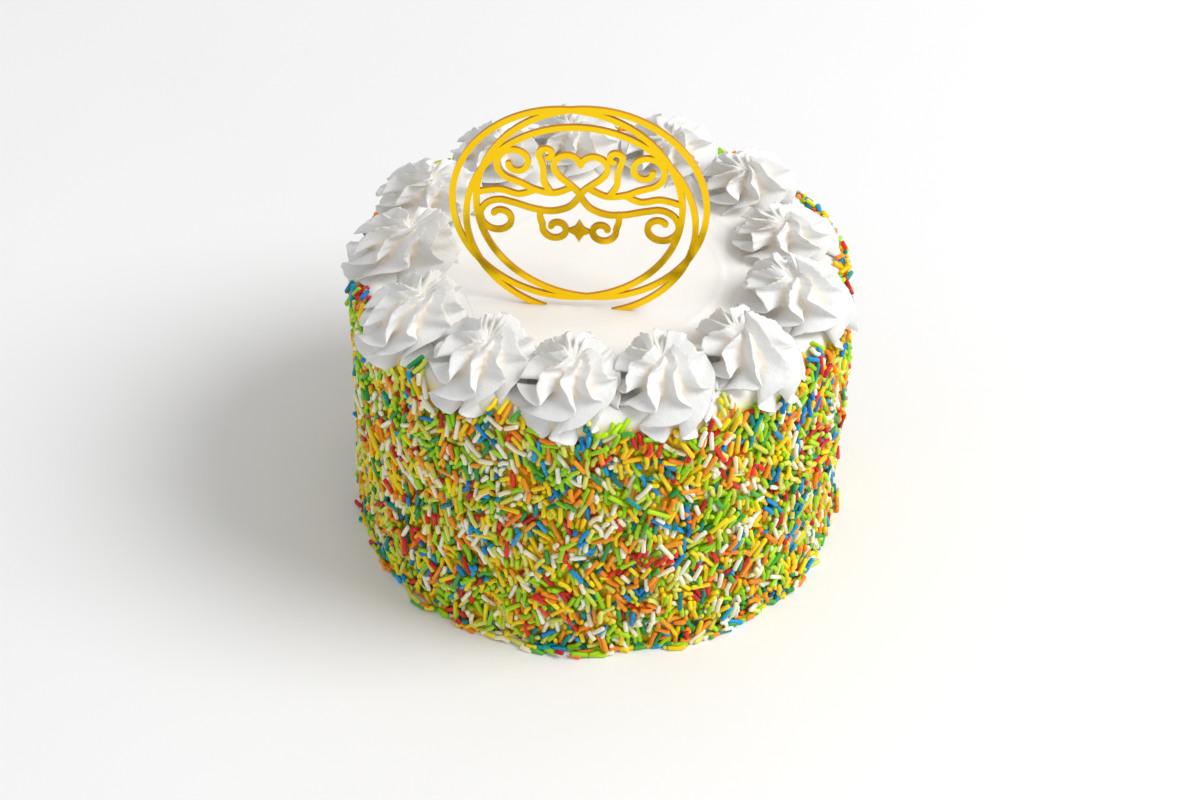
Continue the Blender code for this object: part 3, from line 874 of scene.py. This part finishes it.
def skirt_of(rosettes):
    """How high up the side strands may reach at an angle round the cake: as far as the rosettes' frills."""
    def bin_of(angles):
        return (angles / (2 * math.pi) * SKIRT_BINS).astype(int) % SKIRT_BINS

    lowest = np.full(SKIRT_BINS, STRAND_TOP)
    for rosette in rosettes:
        points = np.empty(len(rosette.data.vertices) * 3)
        rosette.data.vertices.foreach_get("co", points)
        points = points.reshape(-1, 3)
        radius = np.hypot(points[:, 0], points[:, 1])
        outer = points[radius > ICING_RADIUS - SKIRT_DEPTH]
        angle = np.arctan2(outer[:, 1], outer[:, 0]) % (2 * math.pi)
        np.minimum.at(lowest, bin_of(angle), outer[:, 2])
    return lambda angles: lowest[bin_of(angles)] + SKIRT_OVERLAP


def patchy_colours(rows, draw):
    """The colour of each strand: drawn at random, but like colours gather in patches."""
    around, height = (np.array([row[column] for row in rows]) for column in (0, 1))
    x = ICING_RADIUS * np.cos(around) + PATCH_SLANT[0] * height
    y = ICING_RADIUS * np.sin(around) - PATCH_SLANT[1] * height
    scores = []
    for _, share, *_ in STRAND_COLOURS:
        patch = waves(x, y, draw, *PATCH_WAVES)
        luck = np.array([draw.random() for _ in rows])
        scores.append(math.log(share) - np.log(-np.log(luck)) + PATCHINESS * patch)
    return np.argmax(scores, axis=0)


def make_all_strands(rosettes):
    """The strands of the side and the foot, one mesh for each colour."""
    draw = random.Random(STRAND_SEED)
    rows = place_strands(draw, skirt_of(rosettes)) + foot_strands(draw)
    picks = patchy_colours(rows, draw)
    pieces = []
    for index, (colour, _, pale, deep, clear) in enumerate(STRAND_COLOURS):
        own = [row for row, pick in zip(rows, picks) if pick == index]
        look = strand_material(f"strands_{colour}_look", pale, deep, clear)
        pieces.append(make_strands(own, f"strands_{colour}", look, draw))
    return pieces


# Rosettes

def rosette_angles():
    spacing = 360.0 / ROSETTE_COUNT
    return [math.radians(ROSETTE_START + i * spacing + ROSETTE_STRAY[i]) for i in range(ROSETTE_COUNT)]


def round_ridges(values, place):
    """Values given for each ridge, read between the ridges too."""
    return np.interp(place, np.arange(RIDGES + 1), list(values) + [values[0]])


def round_waves(theta, run, draw, radius, *kind):
    """Unevenness over a rosette that joins up where its round closes."""
    first = waves(radius * np.cos(theta), run, draw, *kind)
    return first + waves(radius * np.sin(theta), run, draw, *kind)


def crest_shares(part, place):
    """How near a crest each point is, 0 in a valley and 1 on the crest, and how far off it."""
    off_crest = np.abs(np.sin(math.pi * place))
    off_crest = np.sqrt(off_crest ** 2 + CREST_EDGE ** 2) - CREST_EDGE
    lobe = np.clip(1 - part / LOBE_TOP, 0, 1)
    sharpness = RIDGE_SHARPNESS - CROWN_SOFTENING * part ** 3 + (LOBE_SHARPNESS - RIDGE_SHARPNESS) * lobe
    return (1 - off_crest) ** sharpness, off_crest


def with_pit(x, y, z, painted_fold_shade):
    """Adds the rings of the crown's hollow with their share of painted fold shade, and gives its middle too.
    """
    crown_x = x[-1]
    crown_y = y[-1]
    crown_z = z[-1]
    for step in range(1, PIT_RINGS + 1):
        share = 1 - step / (PIT_RINGS + 1)
        x = np.vstack([x, (crown_x - crown_x.mean()) * share + crown_x.mean()])
        y = np.vstack([y, (crown_y - crown_y.mean()) * share + crown_y.mean()])
        z = np.vstack([z, CROWN_PIT + (crown_z - CROWN_PIT) * share ** PIT_CURVE])
        # The hollow's rings get more painted shade the deeper they go
        painted_fold_shade = np.vstack([painted_fold_shade, np.full(painted_fold_shade.shape[1], PIT_PAINTED_SHADE * (1 - share))])
    pit = np.array([x[-1].mean(), y[-1].mean(), CROWN_PIT])
    return np.stack([x, y, z], -1).reshape(-1, 3), painted_fold_shade.ravel(), pit


def rosette_points(draw, bulk):
    """A rosette's points about its own axis, ring after ring, and how much painted warm shade each gets in
    the folds.
    """
    size = bulk * (1 + draw.uniform(-SIZE_SPREAD, SIZE_SPREAD))
    tallness = bulk * (1 + draw.uniform(-SIZE_SPREAD, SIZE_SPREAD))
    first = draw.uniform(0, 2 * math.pi)
    lean_to = draw.uniform(0, 2 * math.pi)
    reach = [1 + draw.uniform(-REACH_SPREAD, REACH_SPREAD) for _ in range(RIDGES)]
    tips = [1 + draw.uniform(-TIP_SPREAD, TIP_SPREAD) for _ in range(RIDGES)]
    swing = [draw.uniform(*SWING_RANGE) for _ in range(RIDGES)]
    shift = [draw.uniform(-SHIFT_SPREAD, SHIFT_SPREAD) for _ in range(RIDGES)]
    tall_tips = [draw.uniform(*TALL_TIP_RANGE) for _ in range(RIDGES)]

    # part goes from the foot to the crown, and place counts the ridges round.
    part = np.interp(np.linspace(0, 1, ROSETTE_RINGS), RING_SHARES, RING_PLACES)[:, None]
    across = np.linspace(-1, 1, RIDGE_STEPS, endpoint=False)
    across = 0.5 * np.sign(across) * np.abs(across) ** RIDGE_CROWDING
    place = (np.arange(RIDGES)[:, None] + across[None, :]).ravel()[None, :] % RIDGES
    crest, off_crest = crest_shares(part, place)
    middle_share = np.sin(math.pi * np.clip(part, 0, 1))
    level = np.clip(part + round_ridges(shift, place) * middle_share, 0, 1)
    theta = place * 2 * math.pi / RIDGES
    run = part * PROFILE_LENGTH
    wiggle = round_waves(theta, run, draw, *WIGGLE_WAVES)
    lumps = round_waves(theta, run, draw, *LUMP_WAVES)
    ragged = np.minimum(round_waves(theta, run, draw, *FRAY_WAVES), FRAY_MOST)
    edge = np.exp(-(off_crest / FRAY_WIDTH) ** 2)

    outer = through(LEVELS, CREST_RADIUS, level) * round_ridges(reach, place)
    inner = through(LEVELS, VALLEY_RADIUS, part)
    radius = inner + (outer - inner) * crest
    radius = radius + FRAY_OUT * ragged * edge * (0.5 + 0.5 * part) + LUMP_OUT * lumps
    height = through(LEVELS, LEVEL_HEIGHT, part)
    lift = through(LEVELS, CREST_LIFT, part) * round_ridges(tips, place)
    lift = lift * (1 + (round_ridges(tall_tips, place) - 1) * part ** 4)
    height = height + lift * crest + FRAY_UP * ragged * edge * part + LUMP_UP * lumps * part
    sway = through(LEVELS, SWAY, level) * (1 + (round_ridges(swing, place) - 1) * middle_share)
    sway = sway + WIGGLE * wiggle * (0.4 + 0.6 * middle_share)
    angle = (first + theta + np.radians(through(LEVELS, TURN, part))
             + np.radians(sway) * (VALLEY_SWAY + (1 - VALLEY_SWAY) * crest ** SWAY_SHARPNESS))
    crown_shift = CROWN_SHIFT * part * part
    x = radius * MM * size * np.cos(angle) + crown_shift * math.cos(lean_to)
    y = radius * MM * size * np.sin(angle) + crown_shift * math.sin(lean_to)
    z = height * MM * tallness + 0 * x
    # Painted shade: how much warm tint each point gets, most deep in the valleys midway up, none on the
    # crests
    painted_fold_shade = np.clip(1 - crest * FOLD_SHADE_STEEPNESS, 0, 1) ** 2 * (0.25 + 0.75 * middle_share)
    return with_pit(x, y, z, painted_fold_shade)


def settled(points, ring, middle, before, after):
    """Sets a rosette's points on the cake: leaning inwards, off its neighbours and draped over the rim."""
    rise = np.maximum(points[:, 2], 0) / (LEVEL_HEIGHT[-1] * MM)
    x = ring + points[:, 0] * OUTWARD_STRETCH - PEAK_LEAN * rise * rise
    radius = np.hypot(x, points[:, 1])
    turn = np.arctan2(points[:, 1], x)
    room = np.where(turn > 0, after, before) + ROSETTE_PRESS / radius
    share = turn / room
    over = np.maximum((np.abs(share) - SQUEEZE_FROM) / (1 - SQUEEZE_FROM), 0)
    held = np.sign(share) * (SQUEEZE_FROM + (1 - SQUEEZE_FROM) * np.tanh(over))
    turn = room * np.where(over > 0, held, share)
    fall = DRAPE * np.clip(radius - DRAPE_FROM, 0, DRAPE_OVER) ** 2
    return np.stack([
        radius * np.cos(middle + turn),
        radius * np.sin(middle + turn),
        CAKE_HEIGHT + points[:, 2] - fall], -1)


def make_rosettes(look):
    """The ring of piped rosettes, each with its own seeded differences."""
    angles = rosette_angles()
    pieces = []
    for index, middle in enumerate(angles):
        draw = random.Random(ROSETTE_SEED + index)
        ring = ROSETTE_RING + ROSETTE_OUT[index] * MM
        after = ((angles[(index + 1) % ROSETTE_COUNT] - middle) % (2 * math.pi)) / 2
        before = ((middle - angles[index - 1]) % (2 * math.pi)) / 2
        local, painted_fold_shade, pit = rosette_points(draw, ROSETTE_SIZE[index])
        count = len(local)
        local = np.vstack([local, [[0, 0, LEVEL_HEIGHT[0] * MM], pit]])
        points = settled(local, ring, middle, before, after)
        around = RIDGES * RIDGE_STEPS
        faces = grid_faces(ROSETTE_RINGS + PIT_RINGS, around).tolist()
        faces += fan_faces(0, around, count, False)
        faces += fan_faces(count - around, around, count + 1, True)
        name = f"swirl_{index + 1:02d}"
        swirl = add_piece(name, points, faces, look)
        # The two middle points get the full painted shade
        set_attribute(swirl, "painted_fold_shade", np.concatenate([painted_fold_shade, [1, 1]]))
        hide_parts(f"rosette_{index + 1:02d}")
        pieces.append(swirl)
    return pieces


# Topper

def as_sheet(obj):
    """Gives a flat outline the thickness of the sheet."""
    sheet = obj.modifiers.new("sheet", "SOLIDIFY")
    sheet.thickness = SHEET
    sheet.offset = 0.0
    return applied(obj)


def applied(obj):
    """Puts the result of an object's modifiers in its mesh."""
    bpy.context.view_layer.update()
    graph = bpy.context.evaluated_depsgraph_get()
    mesh = bpy.data.meshes.new_from_object(obj.evaluated_get(graph))
    obj.modifiers.clear()
    obj.data = mesh
    return obj


def flat_object(name, shape, group):
    """An object of the sheet's thickness from a flat shape."""
    mesh = bpy.data.meshes.new(name)
    shape.to_mesh(mesh)
    shape.free()
    obj = bpy.data.objects.new(name, mesh)
    group.objects.link(obj)
    return as_sheet(obj)


def ribbon(name, line, closed, group):
    """A flat stroke along a line of (x, z) points, with round ends where the line is open."""
    line = [Vector(point) for point in line]
    count = len(line)
    half = STROKE / 2
    left = []
    right = []
    for i, point in enumerate(line):
        before = line[i - 1] if closed or i > 0 else line[0]
        after = line[(i + 1) % count] if closed or i < count - 1 else line[-1]
        along = (after - before).normalized()
        across = Vector((-along.y, along.x)) * half
        left.append(point + across)
        right.append(point - across)
    shape = bmesh.new()

    def vertex(point):
        return shape.verts.new((point.x, 0.0, point.y))

    left_row = [vertex(point) for point in left]
    right_row = [vertex(point) for point in right]
    for i in range(count if closed else count - 1):
        j = (i + 1) % count
        shape.faces.new((right_row[i], right_row[j], left_row[j], left_row[i]))
    if not closed:
        for end, inner, first, last in ((line[0], line[1], left_row[0], right_row[0]),
                                        (line[-1], line[-2], right_row[-1], left_row[-1])):
            out = (end - inner).normalized()
            side = Vector((-out.y, out.x))
            turns = [math.pi * k / END_STEPS for k in range(1, END_STEPS)]
            start = 1.0 if (first.co.x - end.x) * side.x + (first.co.z - end.y) * side.y > 0 else -1.0
            tips = [vertex(end + half * (side * math.cos(t) * start + out * math.sin(t))) for t in turns]
            shape.faces.new((first, *tips, last))
    bmesh.ops.recalc_face_normals(shape, faces=shape.faces)
    return flat_object(name, shape, group)


def circle_line(middle, radius, steps):
    turns = [2 * math.pi * i / steps for i in range(steps)]
    return [(middle[0] + radius * math.cos(t), middle[1] + radius * math.sin(t)) for t in turns]


def spiral_line(middle, outer, inner, start, sweep, steps):
    points = []
    for step in range(steps + 1):
        part = step / steps
        radius = outer + (inner - outer) * part
        angle = math.radians(start + sweep * part)
        points.append((middle[0] + radius * math.cos(angle), middle[1] + radius * math.sin(angle)))
    return points


def heart_line(steps):
    """The usual heart curve, which is 16 wide to either side."""
    points = []
    for step in range(steps):
        t = 2 * math.pi * step / steps
        x = 16 * math.sin(t) ** 3
        z = 13 * math.cos(t) - 5 * math.cos(2 * t) - 2 * math.cos(3 * t) - math.cos(4 * t)
        points.append((HEART_SIZE * x / 16, HEART_MIDDLE + HEART_SIZE * z / 16))
    return points


def smooth_line(points, parts):
    """A smooth curve through the points, with each span cut in parts."""
    rows = [Vector(point) for point in points]
    line = []
    for i in range(len(rows) - 1):
        start = rows[i]
        end = rows[i + 1]
        before = rows[max(i - 1, 0)]
        after = rows[min(i + 2, len(rows) - 1)]
        for part in range(parts):
            t = part / parts
            line.append(0.5 * (2 * start + (end - before) * t
                               + (2 * before - 5 * start + 4 * end - after) * t ** 2
                               + (3 * start - before - 3 * end + after) * t ** 3))
    line.append(rows[-1])
    return [(point.x, point.y) for point in line]


def scroll_lines():
    lines = []
    for stem, spiral in zip(SCROLL_STEMS, SCROLL_SPIRALS):
        curl = spiral_line(*spiral) if spiral else []
        curve = smooth_line(list(stem) + curl[:1], STEM_PARTS)
        lines.append([(x * MM, z * MM) for x, z in curve + curl[1:]])
    return lines


def cut_shape(name, outline, group):
    shape = bmesh.new()
    shape.faces.new([shape.verts.new((x, 0.0, z)) for x, z in outline])
    return flat_object(name, shape, group)


def star_outline():
    points = []
    for step in range(2 * STAR_POINTS):
        reach = STAR_RADIUS if step % 2 == 0 else STAR_RADIUS * STAR_WAIST
        angle = math.pi / STAR_POINTS * step
        points.append((reach * math.cos(angle), STAR_MIDDLE + reach * math.sin(angle)))
    return points


def stake_outline():
    top = -HOOP_OFFSET - HOOP_RADIUS
    foot = top - STROKE / 2 - STAKE_LENGTH
    half = STAKE_WIDTH / 2
    return ((-half, top), (-half, foot + STAKE_POINT), (0.0, foot), (half, foot + STAKE_POINT), (half, top))


def make_topper(look):
    """The ornament and its stake, all its strokes joined into one sheet."""
    strokes = bpy.data.collections.new("strokes")
    bpy.context.scene.collection.children.link(strokes)
    middles = []
    for direction in HOOP_DIRECTIONS:
        angle = math.radians(direction)
        middles.append((HOOP_OFFSET * math.cos(angle), HOOP_OFFSET * math.sin(angle)))
    topper = ribbon("gold_topper", circle_line(middles[0], HOOP_RADIUS, HOOP_STEPS), True,
                    bpy.context.scene.collection)
    for index, middle in enumerate(middles[1:]):
        ribbon(f"hoop_{index}", circle_line(middle, HOOP_RADIUS, HOOP_STEPS), True, strokes)
    ribbon("heart", heart_line(HEART_STEPS), True, strokes)
    for index, line in enumerate(scroll_lines()):
        ribbon(f"scroll_right_{index}", line, False, strokes)
        ribbon(f"scroll_left_{index}", [(-x, z) for x, z in line], False, strokes)
    cut_shape("star", star_outline(), strokes)
    cut_shape("stake", stake_outline(), strokes)
    joined = topper.modifiers.new("union", "BOOLEAN")
    joined.operation = "UNION"
    joined.operand_type = "COLLECTION"
    joined.collection = strokes
    joined.solver = "EXACT"
    applied(topper)
    for obj in list(strokes.objects):
        bpy.data.objects.remove(obj, do_unlink=True)
    bpy.data.collections.remove(strokes)
    topper.data.transform(Matrix.Translation((TOPPER_X, TOPPER_Y, TOPPER_Z)))
    topper.data.materials.clear()
    topper.data.materials.append(look)
    topper.data.materials.append(gold_edge_material())
    for face in topper.data.polygons:
        face.material_index = 0 if abs(face.normal.y) > FRONT_FACING else 1
    topper.data.shade_smooth()
    topper.data.set_sharp_from_angle(angle=math.radians(SHARP_ANGLE))
    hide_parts("topper")
    return topper


# Studio

def add_key_light():
    """A large round lamp, high on the right and a little in front."""
    lamp = bpy.data.lights.new("key", "AREA")
    lamp.shape = "DISK"
    lamp.size = KEY_SIZE
    lamp.energy = KEY_POWER
    obj = add_object("key", lamp)
    obj.location = KEY_PLACE
    obj.rotation_euler = (Vector(LIT_PLACE) - Vector(KEY_PLACE)).to_track_quat("-Z", "Y").to_euler()


def make_studio():
    corners = FLOOR_REACH * np.array([(-1, -1, 0), (1, -1, 0), (1, 1, 0), (-1, 1, 0)])
    floor = add_piece("floor", corners, [(0, 1, 2, 3)], floor_material(), smooth=False)
    add_key_light()
    world = bpy.data.worlds.new("studio")
    bpy.context.scene.world = world
    world.use_nodes = True
    background = world.node_tree.nodes["Background"]
    background.inputs["Color"].default_value = (1.0, 1.0, 1.0, 1.0)
    background.inputs["Strength"].default_value = WORLD_STRENGTH
    bpy.context.scene.view_settings.view_transform = "Standard"


def make_camera():
    data = bpy.data.cameras.new("camera")
    data.lens = CAMERA_LENS
    data.sensor_width = CAMERA_SENSOR
    data.sensor_fit = "HORIZONTAL"
    data.clip_start = CAMERA_NEAR
    camera = add_object("camera", data)
    camera.matrix_world = (
        Matrix.Translation(CAMERA_PLACE)
        @ Matrix.Rotation(math.radians(CAMERA_HEADING), 4, "Z")
        @ Matrix.Rotation(math.radians(90 - CAMERA_DOWN), 4, "X")
        @ Matrix.Rotation(math.radians(CAMERA_ROLL), 4, "Z"))
    bpy.context.scene.camera = camera


def main():
    make_camera()
    make_studio()
    icing = make_icing(icing_material())
    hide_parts("cake")
    rosettes = make_rosettes(cream_material())
    pieces = [icing] + rosettes
    for strands in make_all_strands(rosettes):
        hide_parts("cake")
        pieces.append(strands)
    pieces.append(make_topper(gold_material()))
    for piece in pieces:
        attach(piece, "root")


main()
